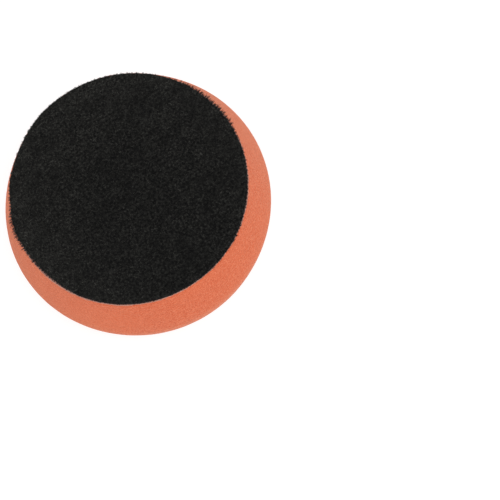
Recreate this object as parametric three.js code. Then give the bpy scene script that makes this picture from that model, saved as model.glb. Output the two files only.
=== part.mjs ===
// Foam polishing pad for a car polisher: a round foam body that flares out to its greatest diameter
// and tapers in again, with a hook-and-loop backing bonded over its upper end.
//
// Millimetres. +Z is the pad's axis and points away from the surface being polished, towards the
// machine. The origin is the centre of the flat polishing face, where it lies on that surface.

import * as THREE from "three";

// Foam body: radius along the profile, from the polishing face up to the bonded end
const GREATEST_DIAMETER = 85;
const GREATEST_DIAMETER_HEIGHT = 12;
const FACE_DIAMETER = 74;
const CHAMFER_DIAMETER = 80.6;
const CHAMFER_HEIGHT = 2;
const FOAM_THICKNESS = 30;

// How far the foam's wall keeps near its greatest radius below and above that height
const SWELL_BELOW = 2;
const SWELL_ABOVE = 3;

// Backing: the laminate cut to one diameter with the foam's upper end
const BACKING_DIAMETER = 75.5;
const ADHESIVE_THICKNESS = 0.2;
const GROUND_CLOTH_THICKNESS = 0.4;
const PILE_HEIGHT = 0.9;
const PILE_EDGE_ROUNDING = 0.5;

// Facets round the axis, and points along each curved stretch of a profile
const FACETS_ROUND = 96;
const CURVE_STEPS = 6;

const MATERIALS = {
  foam: { color: 0xe76f4a, roughness: 0.95, metalness: 0 },
  adhesive: { color: 0xc48977, roughness: 0.55, metalness: 0 },
  groundCloth: { color: 0x141413, roughness: 0.9, metalness: 0 },
  pile: { color: 0x1c1c1b, roughness: 1, metalness: 0 },
};

// A solid of revolution about +Z, from a half profile of radius (x) against height (y)
function turned(name, profile, material) {
  const geometry = new THREE.LatheGeometry(profile.getPoints(CURVE_STEPS), FACETS_ROUND);
  geometry.rotateX(Math.PI / 2);
  const mesh = new THREE.Mesh(geometry, new THREE.MeshStandardMaterial(material));
  mesh.name = name;
  return mesh;
}

// A flat disc whose edge is square
function discProfile(radius, thickness) {
  const profile = new THREE.Path();
  profile.moveTo(0, 0);
  profile.lineTo(radius, 0);
  profile.lineTo(radius, thickness);
  profile.lineTo(0, thickness);
  return profile;
}

// Flat polishing face, chamfer, a wall that flares to the greatest radius and a slightly convex taper
function foamProfile() {
  const greatestRadius = GREATEST_DIAMETER / 2;
  const profile = new THREE.Path();
  profile.moveTo(0, 0);
  profile.lineTo(FACE_DIAMETER / 2, 0);
  profile.lineTo(CHAMFER_DIAMETER / 2, CHAMFER_HEIGHT);
  profile.quadraticCurveTo(
    greatestRadius,
    GREATEST_DIAMETER_HEIGHT - SWELL_BELOW,
    greatestRadius,
    GREATEST_DIAMETER_HEIGHT,
  );
  profile.quadraticCurveTo(
    greatestRadius,
    GREATEST_DIAMETER_HEIGHT + SWELL_ABOVE,
    BACKING_DIAMETER / 2,
    FOAM_THICKNESS,
  );
  profile.lineTo(0, FOAM_THICKNESS);
  return profile;
}

// The raised loops stand level over the whole disc and lean away at its cut edge
function pileProfile() {
  const radius = BACKING_DIAMETER / 2;
  const profile = new THREE.Path();
  profile.moveTo(0, 0);
  profile.lineTo(radius, 0);
  profile.lineTo(radius, PILE_HEIGHT - PILE_EDGE_ROUNDING);
  profile.quadraticCurveTo(radius, PILE_HEIGHT, radius - PILE_EDGE_ROUNDING, PILE_HEIGHT);
  profile.lineTo(0, PILE_HEIGHT);
  return profile;
}

// The bonded layers lie one on another above the foam
function backing() {
  const radius = BACKING_DIAMETER / 2;
  const adhesive = turned(
    "adhesive_film",
    discProfile(radius, ADHESIVE_THICKNESS),
    MATERIALS.adhesive,
  );
  const groundCloth = turned(
    "loop_ground_cloth",
    discProfile(radius, GROUND_CLOTH_THICKNESS),
    MATERIALS.groundCloth,
  );
  const pile = turned("loop_pile", pileProfile(), MATERIALS.pile);
  groundCloth.position.z = ADHESIVE_THICKNESS;
  pile.position.z = ADHESIVE_THICKNESS + GROUND_CLOTH_THICKNESS;

  const layers = new THREE.Group();
  layers.add(adhesive, groundCloth, pile);
  layers.position.z = FOAM_THICKNESS;
  return layers;
}

const polishingPad = new THREE.Group();
polishingPad.add(turned("foam_body", foamProfile(), MATERIALS.foam), backing());

export default polishingPad;
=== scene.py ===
import math

import bpy
import numpy as np
from mathutils import Matrix, Vector, noise


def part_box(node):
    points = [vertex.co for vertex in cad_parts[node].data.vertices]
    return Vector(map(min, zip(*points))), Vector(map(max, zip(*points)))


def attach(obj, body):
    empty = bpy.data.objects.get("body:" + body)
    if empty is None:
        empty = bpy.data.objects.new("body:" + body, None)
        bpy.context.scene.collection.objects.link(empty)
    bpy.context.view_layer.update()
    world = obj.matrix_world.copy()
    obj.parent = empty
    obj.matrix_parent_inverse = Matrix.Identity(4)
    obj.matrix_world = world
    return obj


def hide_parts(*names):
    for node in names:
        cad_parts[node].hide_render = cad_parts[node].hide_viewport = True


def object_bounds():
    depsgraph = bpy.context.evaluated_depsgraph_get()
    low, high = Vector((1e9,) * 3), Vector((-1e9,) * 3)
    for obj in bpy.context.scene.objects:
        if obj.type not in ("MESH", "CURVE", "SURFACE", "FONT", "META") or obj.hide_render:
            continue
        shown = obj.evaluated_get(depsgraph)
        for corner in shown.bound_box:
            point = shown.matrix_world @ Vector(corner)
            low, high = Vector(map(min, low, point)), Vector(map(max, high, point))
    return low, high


# Looks of a foam polishing pad that lies on its polishing face, loop backing up. Metres, +Z up.
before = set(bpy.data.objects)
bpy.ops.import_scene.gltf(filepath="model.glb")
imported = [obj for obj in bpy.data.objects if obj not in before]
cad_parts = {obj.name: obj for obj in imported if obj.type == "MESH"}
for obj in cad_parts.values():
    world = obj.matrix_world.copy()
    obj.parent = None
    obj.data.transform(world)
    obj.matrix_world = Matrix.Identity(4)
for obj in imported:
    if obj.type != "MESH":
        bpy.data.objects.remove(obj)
CAD_LOW, CAD_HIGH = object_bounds()
MM = 0.001
FULL_TURN = 2 * math.pi

# Camera: a long lens that looks down on the loop side, rolled so that the pad's near side is low and
# to the right of the picture, and aimed to the right of and below the pad
CAMERA_LENS_MM = 345.6
CAMERA_SENSOR_MM = 36.0
CAMERA_CLIP = (0.05, 20)
CAMERA_ELEVATION = math.radians(72.9)
CAMERA_ROLL = math.radians(-27.2)
CAMERA_DISTANCE = 1.52
CAMERA_AIM_HEIGHT = 12 * MM
PAD_LEFT_OF_VIEW = 35.5 * MM
PAD_ABOVE_VIEW = 14.5 * MM

# Light: a white dome, one soft key from the near side, and a floor lit from below like a light table
WHITE = (1, 1, 1, 1)
DOME_STRENGTH = 0.78
KEY_ENERGY = 7.6
KEY_SIZE = 1.2
KEY_DISTANCE = 1.6
KEY_AZIMUTH = math.radians(25)
KEY_ELEVATION = math.radians(58)
FLOOR_GLOW = 0.80

# Floor: its rings as (radius, height) are flat, and swept up at the far rim so that no sky shows over it
FLOOR_RINGS = ((3.4, 0.0), (3.7, 0.01), (3.9, 0.05), (4.0, 0.13))
FLOOR_SEGMENTS = 96
FLOOR_BELOW_PAD = 0.05 * MM
FLOOR_REFLECTANCE = 0.3
FLOOR_MOTTLING = 0.01

# Foam surface: its mesh, how far its corners are rounded over, and its unevenness as (size, depth)
FOAM_SPACING = 0.45 * MM
FOAM_SEGMENTS = 592
FOAM_EDGE_SOFTENING = 0.45 * MM
FOAM_CELLS = (0.95 * MM, 0.025 * MM)
FOAM_LUMPS = (3.2 * MM, 0.02 * MM)
FOAM_SWELL = (18 * MM, 0.05 * MM)
FOAM_EVEN_NEAR_BOND = 0.6 * MM

# Foam colours, as reflectances: the struts between the pores are paler than the hollows, which are
# painted shade
FOAM_COLOR_PORE_SHADE = (0.555, 0.063, 0.013, 1)
FOAM_COLOR_STRUT = (0.83, 0.228, 0.115, 1)
FOAM_COLOR_DEEP = (0.60, 0.106, 0.035, 1)
FOAM_COLOR_WARM = (0.74, 0.155, 0.060, 1)
FOAM_BLOOM_TINT = (1.0, 0.97, 0.76, 1)

# Bonded layers: discs whose mesh is fine only near the rim, where the film is squeezed out. Their
# raggedness there is (size, depth).
DISC_SPACING = 0.2 * MM
DISC_RING_SPACING = 0.4 * MM
DISC_SEGMENTS = 640
DISC_FINE_RIM = 1 * MM
DISC_THINNED_INSIDE = 8
FILM_SQUEEZED_OUT = 0.13 * MM
FILM_SMEARS = (2.6 * MM, 0.16 * MM)
FILM_BEADS = (0.8 * MM, 0.128 * MM)
FILM_COLOR_PALE = (0.62, 0.3, 0.225, 1)
FILM_COLOR_DEEP = (0.48, 0.2, 0.145, 1)
CLOTH_RAGGEDNESS = (0.5 * MM, 0.08 * MM)
CLOTH_COLOR_GROOVE_SHADE = (0.004, 0.004, 0.004, 1)
CLOTH_COLOR_PALE = (0.012, 0.012, 0.0115, 1)

# Pile mat: the dense lower share of the pile, and its unevenness as (size, depth)
MAT_SPACING = 0.4 * MM
MAT_SEGMENTS = 576
MAT_EDGE_SOFTENING = 0.2 * MM
MAT_SHARE_OF_PILE = 0.8
MAT_RIM = 3 * MM
MAT_EVEN_NEAR_CLOTH = 0.4 * MM
MAT_TUFTS = (0.9 * MM, 0.12 * MM)
MAT_CURLS = (0.5 * MM, 0.07 * MM)

# Pile colours (dark, light), as reflectances: what lies higher in the pile is paler, as painted shade on
# the deeper nylon and a painted highlight on the top filaments
MAT_COLORS = ((0.001, 0.001, 0.001, 1), (0.036, 0.0355, 0.0320, 1))
LOOP_COLORS = ((0.002, 0.002, 0.002, 1), (0.082, 0.0808, 0.073, 1))
FILAMENT_COLORS = ((0.006, 0.006, 0.006, 1), (0.19, 0.1872, 0.1695, 1))
FRINGE_COLORS = ((0.01, 0.01, 0.01, 1), (0.085, 0.084, 0.08, 1))

# Painted light on the pile: its colour is paler towards both ends of one axis, towards the sides across
# it, and towards one direction, and darkest in the middle as painted shade
PAINTED_LIGHT_AXIS = math.radians(18)
PAINTED_LIGHT_DIRECTION = math.radians(123)
PAINTED_LIGHT_AT_AXIS_ENDS = 0.62
PAINTED_LIGHT_AT_SIDES = 0.24
PAINTED_LIGHT_TOWARDS_DIRECTION = 0.24

# Strands of the pile: lengths and thicknesses are (least, most), and bows are spreads of a bell curve
STRAND_SIDES = 3
GRID_ROW_STEP = 0.866
GRID_JITTER = 0.45

LOOP_SPACING = 0.8 * MM
LOOP_RIM = 0.4 * MM
LOOP_SUNK = 0.38 * MM
LOOP_SPAN = (0.4 * MM, 1.0 * MM)
LOOP_RISE = (0.12 * MM, 0.46 * MM)
LOOP_BOW = 0.2 * MM
LOOP_THICKNESS = (0.045 * MM, 0.085 * MM)
LOOP_TAPER = np.array([0.6, 0.9, 1.0, 1.0, 0.9, 0.6])

FILAMENT_SPACING = 0.72 * MM
FILAMENT_RIM = 0.5 * MM
FILAMENT_SUNK = (0.2 * MM, 0.35 * MM)
FILAMENT_SPAN = (0.5 * MM, 1.4 * MM)
FILAMENT_RISE = (0.12 * MM, 0.4 * MM)
FILAMENT_BOW = 0.3 * MM
FILAMENT_CRIMP = 0.04 * MM
FILAMENT_THICKNESS = (0.02 * MM, 0.035 * MM)
FILAMENT_TAPER = np.ones(5)

# The cut edge frays most where the knit's courses end on it, as (azimuth, half width, how much), and
# stands proud of the round or falls short of it, as (azimuth, half width, reach)
FRAYED_STRETCHES = (
    (math.radians(181), math.radians(22), 1.0),
    (math.radians(18), math.radians(18), 1.3),
    (math.radians(-54), math.radians(36), 0.68),
)
FRAYED_ELSEWHERE = 0.38
WELL_FRAYED = 1
PROUD_EDGES = (
    (math.radians(203), math.radians(10), -0.22 * MM),
    (math.radians(173), math.radians(7.5), 0.85 * MM),
    (math.radians(150), math.radians(6), 0.42 * MM),
    (math.radians(113), math.radians(8), 0.25 * MM),
    (math.radians(33), math.radians(9), 0.22 * MM),
    (math.radians(12), math.radians(5), 0.22 * MM),
    (math.radians(-2), math.radians(16), 0.15 * MM),
    (math.radians(-60), math.radians(15), 0.3 * MM),
)

# How far the closed cloth and mat fall short of the frayed ends, and how that varies along the edge,
# as (size, share of it)
WORN_BACK = 0.5 * MM
NIBBLES_COARSE = (1.3 * MM, 0.5)
NIBBLES_FINE = (0.6 * MM, 0.4)

# Fringe: teeth of filaments, and single strays between them. A share is (shape, scale) of a gamma
# distribution, as a share of the reach, and is cut off at the longest.
TOOTH_SPACING = 1.05 * MM
TOOTH_JITTER = 0.35
TOOTH_FILAMENTS = 12
TOOTH_REACH = 0.7 * MM
TOOTH_SHARE = (3.0, 0.24)
TOOTH_LONGEST = 1.5
TOOTH_EVENNESS = (0.45, 1.05)
TOOTH_LEAN_SPREAD = 0.25
TOOTH_HALF_WIDTH = (0.15 * MM, 0.4 * MM)
TOOTH_GATHERED = 0.8
STRAY_TRIES = 4200
STRAY_SHARE = (1.3, 0.55)
STRAY_LONGEST = 1.7
STRAY_WORN_BACK = 0.6 * WORN_BACK
STRAY_LEAN_SPREAD = 0.6
FRINGE_ROOTED = (0.3 * MM, 0.7 * MM)
FRINGE_SUNK = (0.2 * MM, 0.9 * MM)
FRINGE_DROP = (-0.05 * MM, 0.25 * MM)
FRINGE_RISE = (-0.03 * MM, 0.1 * MM)
FRINGE_BOW = 0.05 * MM
FRINGE_THICKNESS = (0.025 * MM, 0.05 * MM)
FRINGE_TAPER = np.array([1.0, 1.0, 1.0, 0.95, 0.8, 0.4])

# Keeps the part of a vector that lies across the pad
ACROSS = np.array([1.0, 1.0, 0.0])
UP = np.array([0.0, 0.0, 1.0])
TINY = 1e-9

# How far apart two reliefs lie in the noise for each step of their seeds
NOISE_SHIFT = (17.3, 5.1, 29.7)

rng = np.random.default_rng(20)


# ---------------------------------------------------------------- mesh helpers


def new_object(name, vertices, faces):
    mesh = bpy.data.meshes.new(name)
    mesh.from_pydata(vertices, [], faces)
    mesh.validate()
    mesh.update()
    piece = bpy.data.objects.new(name, mesh)
    bpy.context.scene.collection.objects.link(piece)
    mesh.polygons.foreach_set("use_smooth", [True] * len(mesh.polygons))
    return piece


def cad_profile(node):
    """(radius, height) of a convex round CAD node's outline, from the axis below to the axis above."""
    low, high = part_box(node)
    points = np.array([v.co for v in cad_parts[node].data.vertices], float)
    outline = np.stack([np.hypot(points[:, 0], points[:, 1]), points[:, 2]], axis=1)
    outline = np.unique(np.round(outline, 6), axis=0)
    middle = (low.z + high.z) / 2
    return outline[np.argsort(np.arctan2(outline[:, 1] - middle, outline[:, 0]))]


def evenly_spaced(profile, spacing):
    """The same line through points at an even spacing along it."""
    steps = np.linalg.norm(np.diff(profile, axis=0), axis=1)
    along = np.concatenate([[0], np.cumsum(steps)])
    wanted = np.linspace(0, along[-1], max(2, round(along[-1] / spacing) + 1))
    return np.stack([np.interp(wanted, along, profile[:, k]) for k in (0, 1)], axis=1)


def softened(profile, reach):
    """An evenly spaced line with its corners rounded over about reach, its two ends kept."""
    step = np.linalg.norm(profile[1] - profile[0])
    far_enough = 4 * reach
    half = int(far_enough / step) + 1
    weights = np.exp(-0.5 * (np.arange(-half, half + 1) * step / reach) ** 2)
    weights /= weights.sum()
    mirrored = [-1, 1]
    before = profile[1 : half + 1][::-1] * mirrored
    after = profile[-half - 1 : -1][::-1] * mirrored
    padded = np.concatenate([before, profile, after])
    smooth = np.stack([np.convolve(padded[:, k], weights, "valid") for k in (0, 1)], axis=1)
    smooth[[0, -1], 0] = 0
    return smooth


def ring_counts(radii, segments, spacing):
    """Vertices on each ring: halved towards the axis, so that the spacing stays even."""
    fewest = 8
    closest = 0.7 * spacing
    counts = []
    for radius in radii:
        count = segments
        while count % 2 == 0 and count > fewest and FULL_TURN * radius / count < closest:
            count //= 2
        counts.append(count)
    return counts


def bridge(lower, upper):
    """Faces between two rings of vertex numbers, one with the same count as the other or twice it."""
    if len(lower) == len(upper):
        n = len(lower)
        return [
            (lower[j], lower[(j + 1) % n], upper[(j + 1) % n], upper[j]) for j in range(n)
        ]
    faces = []
    fine_first = len(lower) > len(upper)
    fine, coarse = (lower, upper) if fine_first else (upper, lower)
    n = len(coarse)
    for j in range(n):
        a, b, c = fine[2 * j], fine[2 * j + 1], fine[(2 * j + 2) % len(fine)]
        p, q = coarse[j], coarse[(j + 1) % n]
        for face in ((a, b, p), (b, q, p), (b, c, q)):
            faces.append(face if fine_first else face[::-1])
    return faces


def turned_surface(profile, segments, spacing):
    """Vertices, outward normals and faces of a closed surface of revolution about the Z axis."""
    tangent = np.gradient(profile, axis=0)
    tangent /= np.linalg.norm(tangent, axis=1)[:, None]
    counts = ring_counts(profile[:, 0], segments, spacing)
    vertices, normals, rings = [], [], []
    for k, (radius, height) in enumerate(profile):
        if k in (0, len(profile) - 1):
            rings.append([len(vertices)])
            vertices.append((0.0, 0.0, height))
            normals.append((0.0, 0.0, -1.0 if k == 0 else 1.0))
            continue
        rings.append(list(range(len(vertices), len(vertices) + counts[k])))
        outward, upward = tangent[k, 1], -tangent[k, 0]
        for angle in np.arange(counts[k]) * (FULL_TURN / counts[k]):
            c, s = math.cos(angle), math.sin(angle)
            vertices.append((radius * c, radius * s, height))
            normals.append((outward * c, outward * s, upward))
    first, last = rings[1], rings[-2]
    faces = [(rings[0][0], first[(j + 1) % len(first)], first[j]) for j in range(len(first))]
    for lower, upper in zip(rings[1:-2], rings[2:-1]):
        faces += bridge(lower, upper)
    faces += [(last[j], last[(j + 1) % len(last)], rings[-1][0]) for j in range(len(last))]
    return np.array(vertices), np.array(normals), faces


def relief(points, size, seed):
    """Smooth noise from -1 to 1 at each point, with features about that size across."""
    offset = Vector([seed * shift for shift in NOISE_SHIFT])
    return np.array([noise.noise(Vector(p) / size + offset) for p in points])


def unevenness(points, size_and_depth, seed):
    """How far each point stands out, up to that depth either way."""
    size, depth = size_and_depth
    return depth * relief(points, size, seed)


def from_axis(points):
    """How far each point is from the pad's axis, and the unit vector away from the axis there."""
    distance = np.hypot(points[:, 0], points[:, 1])
    return distance, points * ACROSS / np.maximum(distance, TINY)[:, None]


def azimuth_of(points):
    return np.arctan2(points[:, 1], points[:, 0])


def at_azimuth(angle, distance):
    """Points across the pad, that far from its axis."""
    return np.stack([np.cos(angle) * distance, np.sin(angle) * distance], axis=1)


def rising_to_one(value, over):
    """0 where the value is 0 or less, rising evenly to 1 where it is over or more."""
    return np.clip(value / over, 0, 1)


# ---------------------------------------------------------------- material helpers


class Material:
    """A node material that is written as a chain of calls. Sizes are in metres."""

    # the colour form of a Mix node gives several sockets the same name, so they go by number
    MIX_SHARE, MIX_A, MIX_B, MIX_RESULT = 0, 6, 7, 2

    SHADER_SOCKETS = {
        "color": "Base Color",
        "roughness": "Roughness",
        "normal": "Normal",
        "specular": "Specular IOR Level",
        "sheen": "Sheen Weight",
        "sheen_roughness": "Sheen Roughness",
        "sheen_tint": "Sheen Tint",
        "glow_color": "Emission Color",
        "glow": "Emission Strength",
    }

    def __init__(self, name):
        self.material = bpy.data.materials.new(name)
        self.material.use_nodes = True
        self.nodes = self.material.node_tree.nodes
        self.links = self.material.node_tree.links
        self.shader = self.nodes["Principled BSDF"]
        self.place = self.nodes.new("ShaderNodeTexCoord").outputs["Object"]

    def feed(self, socket, value):
        """Links another node's output to the socket, or sets a constant on it."""
        if isinstance(value, bpy.types.NodeSocket):
            self.links.new(value, socket)
        else:
            socket.default_value = value

    def node(self, kind, inputs, **settings):
        made = self.nodes.new(kind)
        for key, value in settings.items():
            setattr(made, key, value)
        for key, value in inputs.items():
            self.feed(made.inputs[key], value)
        return made

    def noise(self, size, detail=2.0, roughness=0.5):
        inputs = {
            "Vector": self.place,
            "Scale": 1 / size,
            "Detail": detail,
            "Roughness": roughness,
        }
        return self.node("ShaderNodeTexNoise", inputs).outputs["Fac"]

    def cells(self, size):
        inputs = {"Vector": self.place, "Scale": 1 / size}
        return self.node("ShaderNodeTexVoronoi", inputs).outputs["Distance"]

    def waves(self, size, distortion, detail):
        inputs = {
            "Vector": self.place,
            "Scale": 1 / size,
            "Distortion": distortion,
            "Detail": detail,
        }
        return self.node("ShaderNodeTexWave", inputs).outputs["Fac"]

    def ramp(self, value, over, to=(0.0, 1.0)):
        """Carries the value's range, over, on to the range to, and holds it at both ends."""
        inputs = {
            "Value": value,
            "From Min": over[0],
            "From Max": over[1],
            "To Min": to[0],
            "To Max": to[1],
        }
        return self.node("ShaderNodeMapRange", inputs, clamp=True).outputs["Result"]

    def math(self, operation, a, b):
        made = self.node("ShaderNodeMath", {0: a, 1: b}, operation=operation)
        return made.outputs["Value"]

    def dot(self, a, b):
        made = self.node("ShaderNodeVectorMath", {0: a, 1: b}, operation="DOT_PRODUCT")
        return made.outputs["Value"]

    def mix(self, share, a, b):
        inputs = {self.MIX_SHARE: share, self.MIX_A: a, self.MIX_B: b}
        return self.node("ShaderNodeMix", inputs, data_type="RGBA").outputs[self.MIX_RESULT]

    def bump(self, height, depth, strength):
        inputs = {"Height": height, "Distance": depth, "Strength": strength}
        return self.node("ShaderNodeBump", inputs).outputs["Normal"]

    def set(self, **sockets):
        for key, value in sockets.items():
            self.feed(self.shader.inputs[self.SHADER_SOCKETS[key]], value)
        return self.material


def foam_material():
    """Open-cell polyurethane foam: fine pores with painted shade in their hollows, faint mottling, and a
    pale bloom at a low angle.
    """
    m = Material("open_cell_foam")
    pores = m.cells(0.5 * MM)
    struts = m.noise(0.5 * MM, detail=3.0, roughness=0.65)
    mottle = m.noise(1.7 * MM)
    drift = m.noise(22 * MM, detail=1.0)
    # painted shade: the pores' hollows are darker, and the raised struts paler as painted light, over
    # the foam's grain
    painted_pore_shade = m.ramp(pores, over=(0.3, 0.75), to=(0.0, 0.4))
    strut_grain_and_light = m.ramp(struts, over=(0.38, 0.62), to=(0.0, 0.6))
    color = m.mix(m.math("ADD", painted_pore_shade, strut_grain_and_light), FOAM_COLOR_PORE_SHADE, FOAM_COLOR_STRUT)
    color = m.mix(m.ramp(mottle, over=(0.3, 0.7), to=(0.1, 0.3)), color, FOAM_COLOR_DEEP)
    color = m.mix(m.ramp(drift, over=(0.35, 0.65), to=(0.0, 0.3)), color, FOAM_COLOR_WARM)
    height = m.math("ADD", m.math("MULTIPLY", pores, 0.6), struts)
    return m.set(
        color=color,
        roughness=m.ramp(struts, over=(0.3, 0.7), to=(0.86, 1.0)),
        normal=m.bump(height, depth=0.3 * MM, strength=0.8),
        specular=0.05,
        sheen=0.25,
        sheen_roughness=0.5,
        sheen_tint=FOAM_BLOOM_TINT,
    )


def film_material():
    """Hot-melt film: paler and deeper patches, some of them shinier."""
    m = Material("hot_melt_film")
    patches = m.ramp(m.noise(0.8 * MM), over=(0.35, 0.65))
    return m.set(
        color=m.mix(patches, FILM_COLOR_PALE, FILM_COLOR_DEEP),
        roughness=m.ramp(m.noise(0.4 * MM), over=(0.3, 0.7), to=(0.4, 0.7)),
    )


def ground_cloth_material():
    """The dyed knit that holds the loops, ribbed along its courses, with painted shade in the grooves
    between the ribs.
    """
    m = Material("knitted_ground")
    courses = m.waves(3.1 * MM, distortion=1.5, detail=1.0)
    return m.set(
        # painted shade: the low grooves of the ribs take the darker colour
        color=m.mix(courses, CLOTH_COLOR_GROOVE_SHADE, CLOTH_COLOR_PALE),
        roughness=m.ramp(m.noise(0.3 * MM), over=(0.3, 0.7), to=(0.8, 1.0)),
        normal=m.bump(courses, depth=0.1 * MM, strength=0.6),
        specular=0.1,
    )


def painted_pile_shade(m):
    """Painted shade on the pile: how much of the tufts is hidden, most in the middle, and least
    towards both ends of one axis and on one side, where painted light falls."""
    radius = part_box("loop_pile")[1].x

    def along(azimuth):
        return m.dot(m.place, (math.cos(azimuth) / radius, math.sin(azimuth) / radius, 0))

    def squared(value):
        return m.math("MULTIPLY", value, value)

    # painted light: paler towards both ends of one axis, across it, and towards one direction
    courses = m.math("MULTIPLY", squared(along(PAINTED_LIGHT_AXIS)), PAINTED_LIGHT_AT_AXIS_ENDS)
    sides = m.math("MULTIPLY", squared(along(PAINTED_LIGHT_AXIS + math.pi / 2)), PAINTED_LIGHT_AT_SIDES)
    painted_light_lean = m.math("MULTIPLY", along(PAINTED_LIGHT_DIRECTION), PAINTED_LIGHT_TOWARDS_DIRECTION)
    paler = m.math("ADD", m.math("ADD", courses, sides), painted_light_lean)
    return m.ramp(paler, over=(0.0, 0.72), to=(0.115, 0.0))


def pile_material(name, colors):
    """Dyed nylon: tufts of different depth of colour, painted shade in the gaps between them and over
    the middle of the pile, and a soft shine along the filaments.
    """
    dark, light = colors
    m = Material(name)
    tufts = m.noise(0.75 * MM)
    painted_gap_shade = m.noise(0.5 * MM, detail=1.0)
    grain = m.noise(0.25 * MM)
    clumps = m.noise(2.3 * MM)
    nap = m.noise(9 * MM)
    # painted shade: the tufts are pushed darker towards the middle of the pile
    shown = m.math("SUBTRACT", tufts, painted_pile_shade(m))
    color = m.mix(m.ramp(shown, over=(0.265, 0.735)), dark, light)
    # painted shade in the gaps between the tufts
    color = m.mix(m.ramp(painted_gap_shade, over=(0.32, 0.5), to=(0.7, 0.0)), color, dark)
    color = m.mix(m.ramp(clumps, over=(0.35, 0.65), to=(0.0, 0.42)), color, dark)
    color = m.mix(m.ramp(nap, over=(0.35, 0.65), to=(0.0, 0.33)), color, dark)
    return m.set(
        color=color,
        roughness=m.ramp(grain, over=(0.3, 0.7), to=(0.65, 0.95)),
        normal=m.bump(grain, depth=0.08 * MM, strength=0.5),
        specular=0.12,
        sheen=0.03,
        sheen_roughness=0.4,
    )


# ---------------------------------------------------------------- foam and bonded layers


def finished(piece, material, slot, *nodes):
    piece.data.materials.append(material)
    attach(piece, "root")
    if nodes:
        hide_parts(*nodes)
    return piece


def foam_block():
    profile = evenly_spaced(cad_profile("foam_body"), FOAM_SPACING)
    profile = softened(profile, FOAM_EDGE_SOFTENING)
    vertices, normals, faces = turned_surface(profile, FOAM_SEGMENTS, FOAM_SPACING)
    low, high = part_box("foam_body")
    depth = unevenness(vertices, FOAM_CELLS, seed=1)
    depth += unevenness(vertices, FOAM_LUMPS, seed=2)
    depth += unevenness(vertices, FOAM_SWELL, seed=3)
    # the bonded end and the polishing face stay flat enough to lie true
    depth *= rising_to_one(high.z - vertices[:, 2], FOAM_EVEN_NEAR_BOND)
    vertices = vertices + normals * depth[:, None]
    vertices[:, 2] = np.maximum(vertices[:, 2], low.z)
    piece = new_object("foam_block", vertices, faces)
    finished(piece, foam_material(), "foam", "foam_body")
    return piece


def layer_disc(node, squeezed_out=0.0):
    """A bonded layer as a flat disc: its vertices, the way outward at each, how much each takes part in
    the rim's raggedness, and the faces."""
    low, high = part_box(node)
    radius = high.x + squeezed_out
    corners = np.array([[0, low.z], [radius, low.z], [radius, high.z], [0, high.z]])
    profile = evenly_spaced(corners, DISC_SPACING)
    rim = profile[:, 0].max()
    keep = profile[:, 0] > rim - DISC_FINE_RIM
    keep[::DISC_THINNED_INSIDE] = True
    keep[-1] = True
    vertices, _, faces = turned_surface(profile[keep], DISC_SEGMENTS, DISC_RING_SPACING)
    distance, outward = from_axis(vertices)
    share = 1 - rising_to_one(rim - distance, DISC_FINE_RIM)
    return vertices, outward, share, faces


def glue_film():
    """The film that bonds the cloth to the foam, squeezed out unevenly at the rim."""
    vertices, outward, share, faces = layer_disc("adhesive_film", FILM_SQUEEZED_OUT)
    flat = vertices * ACROSS
    ragged = unevenness(flat, FILM_SMEARS, seed=4) + unevenness(flat, FILM_BEADS, seed=10)
    vertices = vertices + outward * (ragged * share)[:, None]
    piece = new_object("glue_film", vertices, faces)
    return finished(piece, film_material(), "adhesive", "adhesive_film")


def ground_cloth():
    """The knitted ground that holds the loops, with its ragged cut edge."""
    vertices, outward, share, faces = layer_disc("loop_ground_cloth")
    ragged = unevenness(vertices, CLOTH_RAGGEDNESS, seed=5)
    moved = (ragged + cut_edge(azimuth_of(vertices))) * share
    vertices = vertices + outward * moved[:, None]
    piece = new_object("ground_cloth", vertices, faces)
    return finished(piece, ground_cloth_material(), "ground_cloth", "loop_ground_cloth")


# ---------------------------------------------------------------- the backing's cut edge


def bell(angle, centre, width):
    """1 at the centre azimuth, falling off on both sides over about the width."""
    away = np.angle(np.exp(1j * (angle - centre)))
    return np.exp(-0.5 * (away / width) ** 2)


def fraying(angle):
    """How frayed the cut edge is at each azimuth: 1 is a well frayed end."""
    stretches = [much * bell(angle, centre, width) for centre, width, much in FRAYED_STRETCHES]
    return np.maximum(FRAYED_ELSEWHERE, np.max(stretches, axis=0))


def proud(angle):
    """How far the backing's edge stands out past its round at each azimuth."""
    return sum(reach * bell(angle, centre, width) for centre, width, reach in PROUD_EDGES)


def cut_edge(angle):
    """Where the closed cloth and mat end, out from the round: the frayed ends go on from there."""
    rim = at_azimuth(angle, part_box("loop_pile")[1].x)
    rim = np.column_stack([rim, np.zeros(len(rim))])
    nibbled = unevenness(rim, NIBBLES_COARSE, seed=8) + unevenness(rim, NIBBLES_FINE, seed=9)
    return proud(angle) - WORN_BACK * fraying(angle) * (1 + nibbled)


def nearest_frayed_end(angle):
    ends = np.array([centre for centre, _, much in FRAYED_STRETCHES if much >= WELL_FRAYED])
    away = np.cos(angle[:, None] - ends[None])
    return ends[np.argmax(away, axis=1)]


# ---------------------------------------------------------------- pile


def pile_mat():
    """The dense lower part of the pile, tufted on top and rounded off at the cut edge."""
    low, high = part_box("loop_pile")
    profile = evenly_spaced(cad_profile("loop_pile"), MAT_SPACING)
    profile = softened(profile, MAT_EDGE_SOFTENING)
    profile[:, 1] = low.z + (profile[:, 1] - low.z) * MAT_SHARE_OF_PILE
    vertices, normals, faces = turned_surface(profile, MAT_SEGMENTS, MAT_SPACING)
    depth = unevenness(vertices, MAT_TUFTS, seed=6) + unevenness(vertices, MAT_CURLS, seed=7)
    depth *= rising_to_one(vertices[:, 2] - low.z, MAT_EVEN_NEAR_CLOTH)
    distance, outward = from_axis(vertices)
    moved = cut_edge(azimuth_of(vertices)) * (1 - rising_to_one(high.x - distance, MAT_RIM))
    vertices = vertices + normals * depth[:, None] + outward * moved[:, None]
    piece = new_object("pile_mat", vertices, faces)
    return finished(piece, pile_material("pile_mat", MAT_COLORS), "pile", "loop_pile")


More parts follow.
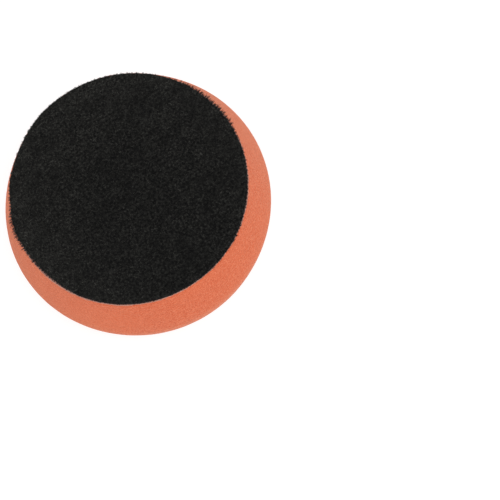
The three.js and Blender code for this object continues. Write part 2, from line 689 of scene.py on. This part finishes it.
def strands(name, paths, radii, colors):
    """A piece of closed thin tubes with pointed ends. paths is (strand, point, xyz) and radii (strand,
    point)."""
    count, points, _ = paths.shape
    tangent = np.gradient(paths, axis=1)
    tangent /= np.linalg.norm(tangent, axis=2, keepdims=True)
    # an upright strand has no side of its own, and gets one
    across = np.cross(paths[:, -1] - paths[:, 0], UP) + TINY
    side = across[:, None] - (across[:, None] * tangent).sum(2, keepdims=True) * tangent
    side /= np.linalg.norm(side, axis=2, keepdims=True)
    other = np.cross(tangent, side)
    body = []
    for turn in np.arange(STRAND_SIDES) * (FULL_TURN / STRAND_SIDES):
        spoke = math.cos(turn) * side + math.sin(turn) * other
        body.append(paths + spoke * radii[:, :, None])
    body = np.stack(body, axis=2)[:, 1:-1].reshape(count, -1, 3)
    vertices = np.concatenate([paths[:, :1], body, paths[:, -1:]], axis=1)
    pattern = np.array(strand_faces(points))
    first = vertices.shape[1] * np.arange(count)
    faces = (pattern[None] + first[:, None, None]).reshape(-1, 3)
    piece = new_object(name, vertices.reshape(-1, 3), faces.tolist())
    return finished(piece, pile_material(name, colors), "pile")


def strand_faces(points):
    """Faces of one tube whose first and last points are its tips and whose others are rings."""
    rings = points - 2
    tip = 1 + rings * STRAND_SIDES
    last = 1 + (rings - 1) * STRAND_SIDES
    faces = []
    for k in range(STRAND_SIDES):
        n = (k + 1) % STRAND_SIDES
        faces.append((0, 1 + n, 1 + k))
        for ring in range(rings - 1):
            a = 1 + ring * STRAND_SIDES
            b = a + STRAND_SIDES
            faces.append((a + k, a + n, b + n))
            faces.append((a + k, b + n, b + k))
        faces.append((last + k, last + n, tip))
    return faces


def between(least_and_most, count):
    return rng.uniform(*least_and_most, count)


def scattered(spacing, radius):
    """Points over a round disc, on a jittered triangular grid."""
    row_height = spacing * GRID_ROW_STEP
    rows = int(radius / row_height) + 2
    columns = int(radius / spacing) + 2
    points = []
    for row in range(-rows, rows + 1):
        for column in range(-columns, columns + 1):
            points.append(((column + 0.5 * (row % 2)) * spacing, row * row_height))
    jitter = rng.uniform(-GRID_JITTER, GRID_JITTER, (len(points), 2)) * spacing
    points = np.array(points) + jitter
    return points[np.hypot(points[:, 0], points[:, 1]) < radius]


def a_quarter_turn_on(forward):
    return np.stack([-forward[:, 1], forward[:, 0], np.zeros(len(forward))], axis=1)


def headings(count):
    """Unit vectors across the disc, in every direction."""
    turn = rng.uniform(0, FULL_TURN, count)
    return np.stack([np.cos(turn), np.sin(turn), np.zeros(count)], axis=1)


def on_mat(points, sunk):
    """Points of the disc as places in the pile, sunk that far under its top."""
    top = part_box("loop_pile")[1].z
    return np.column_stack([points, top - sunk])


def arched(roots, forward, span, rise, bow, steps):
    """Paths that start at roots, go forward by span, and rise and bow aside in between."""
    t = np.linspace(0, 1, steps)[None]
    arch = np.sin(math.pi * t)
    return (
        roots[:, None]
        + forward[:, None] * (t * span[:, None])[:, :, None]
        + a_quarter_turn_on(forward)[:, None] * (arch * bow[:, None])[:, :, None]
        + UP * (arch * rise[:, None])[:, :, None]
    )


def pile_loops():
    """Raised loops of crimped nylon that stand in the mat and lean over."""
    places = scattered(LOOP_SPACING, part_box("loop_pile")[1].x - LOOP_RIM)
    n = len(places)
    forward = headings(n)
    span = between(LOOP_SPAN, n)
    roots = on_mat(places, np.full(n, LOOP_SUNK)) - forward * span[:, None] / 2
    rise = between(LOOP_RISE, n)
    bow = rng.normal(0, LOOP_BOW, n)
    paths = arched(roots, forward, span, rise, bow, len(LOOP_TAPER))
    thick = between(LOOP_THICKNESS, n)
    return strands("pile_loops", paths, thick[:, None] * LOOP_TAPER, LOOP_COLORS)


def pile_filaments():
    """Fine filaments that brushing has pulled out of the loops, lying over them."""
    places = scattered(FILAMENT_SPACING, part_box("loop_pile")[1].x - FILAMENT_RIM)
    n = len(places)
    forward = headings(n)
    span = between(FILAMENT_SPAN, n)
    roots = on_mat(places, between(FILAMENT_SUNK, n)) - forward * span[:, None] / 2
    rise = between(FILAMENT_RISE, n)
    bow = rng.normal(0, FILAMENT_BOW, n)
    paths = arched(roots, forward, span, rise, bow, len(FILAMENT_TAPER))
    paths += rng.normal(0, FILAMENT_CRIMP, paths.shape)
    thick = between(FILAMENT_THICKNESS, n)
    return strands("pile_filaments", paths, thick[:, None] * FILAMENT_TAPER, FILAMENT_COLORS)


def pile_fringe():
    """Cut yarn ends at the rim: teeth of filaments, longest where the knit's courses meet the edge end
    on, and single filaments between them."""
    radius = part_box("loop_pile")[1].x

    # the teeth: where each is, how far it reaches, which way it leans and how wide it is
    teeth = round(FULL_TURN * radius / TOOTH_SPACING)
    tooth_at = np.arange(teeth) + rng.uniform(-TOOTH_JITTER, TOOTH_JITTER, teeth)
    tooth_at = tooth_at * (FULL_TURN / teeth)
    length = np.minimum(rng.gamma(*TOOTH_SHARE, teeth), TOOTH_LONGEST)
    reach = TOOTH_REACH * fraying(tooth_at) * length
    to_frayed_end = np.angle(np.exp(1j * (nearest_frayed_end(tooth_at) - tooth_at)))
    lean = to_frayed_end * fraying(tooth_at) + rng.normal(0, TOOTH_LEAN_SPREAD, teeth)
    half_width = between(TOOTH_HALF_WIDTH, teeth)

    # the strays: tried at every azimuth, and kept more often where the edge is frayed
    stray_at = rng.uniform(0, FULL_TURN, STRAY_TRIES)
    stray_at = stray_at[rng.random(STRAY_TRIES) < fraying(stray_at)]
    strays = len(stray_at)

    # from here on the filaments of all the teeth come first, and the strays after them
    def of_each_tooth(values):
        return np.repeat(values, TOOTH_FILAMENTS)

    in_teeth = teeth * TOOTH_FILAMENTS
    n = in_teeth + strays
    angle = np.concatenate([of_each_tooth(tooth_at), stray_at])
    aside = of_each_tooth(half_width) * rng.uniform(-1, 1, in_teeth)
    aside = np.concatenate([aside, np.zeros(strays)])
    root_at = angle + aside / radius
    root_out = radius + cut_edge(root_at) - between(FRINGE_ROOTED, n)
    roots = on_mat(at_azimuth(root_at, root_out), between(FRINGE_SUNK, n))

    tooth_beyond = of_each_tooth(reach) * between(TOOTH_EVENNESS, in_teeth)
    length = np.minimum(rng.gamma(*STRAY_SHARE, strays), STRAY_LONGEST)
    stray_beyond = length * TOOTH_REACH * fraying(stray_at) - STRAY_WORN_BACK
    beyond = np.concatenate([tooth_beyond, stray_beyond])
    slant = np.concatenate([of_each_tooth(lean), rng.normal(0, STRAY_LEAN_SPREAD, strays)])
    tip_out = radius + proud(angle) + beyond * np.cos(slant)
    tip_at = angle + (TOOTH_GATHERED * aside + beyond * np.sin(slant)) / radius
    tip_height = roots[:, 2] - between(FRINGE_DROP, n)
    tips = np.column_stack([at_azimuth(tip_at, tip_out), tip_height])

    forward = tips - roots
    span = np.linalg.norm(forward, axis=1)
    forward /= span[:, None]
    rise = between(FRINGE_RISE, n)
    bow = rng.normal(0, FRINGE_BOW, n)
    paths = arched(roots, forward, span, rise, bow, len(FRINGE_TAPER))
    thick = between(FRINGE_THICKNESS, n)
    return strands("pile_fringe", paths, thick[:, None] * FRINGE_TAPER, FRINGE_COLORS)


# ---------------------------------------------------------------- camera, light, floor


def make_camera():
    data = bpy.data.cameras.new("camera")
    data.lens = CAMERA_LENS_MM
    data.sensor_width = CAMERA_SENSOR_MM
    data.clip_start, data.clip_end = CAMERA_CLIP
    camera = bpy.data.objects.new("camera", data)
    bpy.context.scene.collection.objects.link(camera)
    tilt = Matrix.Rotation(math.pi / 2 - CAMERA_ELEVATION, 3, "X")
    turn = tilt @ Matrix.Rotation(CAMERA_ROLL, 3, "Z")
    pad_in_view = Vector((-PAD_LEFT_OF_VIEW, PAD_ABOVE_VIEW, -CAMERA_DISTANCE))
    place = Vector((0, 0, CAMERA_AIM_HEIGHT)) - turn @ pad_in_view
    camera.matrix_world = Matrix.Translation(place) @ turn.to_4x4()
    bpy.context.scene.camera = camera


def make_floor():
    turns = [FULL_TURN * j / FLOOR_SEGMENTS for j in range(FLOOR_SEGMENTS)]
    corners = [(r * math.cos(t), r * math.sin(t), z) for r, z in FLOOR_RINGS for t in turns]
    rings = [range(k * FLOOR_SEGMENTS, (k + 1) * FLOOR_SEGMENTS) for k in range(len(FLOOR_RINGS))]
    faces = [tuple(rings[0])]
    for inner, outer in zip(rings, rings[1:]):
        faces += bridge(outer, inner)
    mesh = bpy.data.meshes.new("floor")
    mesh.from_pydata(corners, [], faces)
    floor = bpy.data.objects.new("floor", mesh)
    floor.location.z = CAD_LOW.z - FLOOR_BELOW_PAD
    bpy.context.scene.collection.objects.link(floor)

    m = Material("pale_floor")
    mottle = m.ramp(m.noise(40 * MM), over=(0.3, 0.7))
    pale = [FLOOR_REFLECTANCE] * 3 + [1]
    paler = [FLOOR_REFLECTANCE + FLOOR_MOTTLING] * 3 + [1]
    color = m.mix(mottle, pale, paler)
    material = m.set(color=color, roughness=0.9, specular=0.0, glow_color=WHITE, glow=FLOOR_GLOW)
    mesh.materials.append(material)


def make_dome():
    world = bpy.data.worlds.new("studio")
    world.use_nodes = True
    background = world.node_tree.nodes["Background"]
    background.inputs["Color"].default_value = WHITE
    background.inputs["Strength"].default_value = DOME_STRENGTH
    bpy.context.scene.world = world
    bpy.context.scene.view_settings.view_transform = "Standard"


def make_key():
    """A round soft light that looks at the pad. Azimuth 0 is in front (-Y) and 90 is at +X."""
    data = bpy.data.lights.new("key", "AREA")
    data.shape = "DISK"
    data.size = KEY_SIZE
    data.energy = KEY_ENERGY
    key = bpy.data.objects.new("key", data)
    level = math.cos(KEY_ELEVATION)
    to_key = Vector(
        (math.sin(KEY_AZIMUTH) * level, -math.cos(KEY_AZIMUTH) * level, math.sin(KEY_ELEVATION))
    )
    key.location = to_key * KEY_DISTANCE
    key.rotation_mode = "QUATERNION"
    key.rotation_quaternion = (-to_key).to_track_quat("-Z", "Y")
    bpy.context.scene.collection.objects.link(key)


make_camera()
make_floor()
make_dome()
make_key()
foam_block()
glue_film()
cloth = ground_cloth()
pile_mat()
raised = [pile_loops(), pile_filaments(), pile_fringe()]
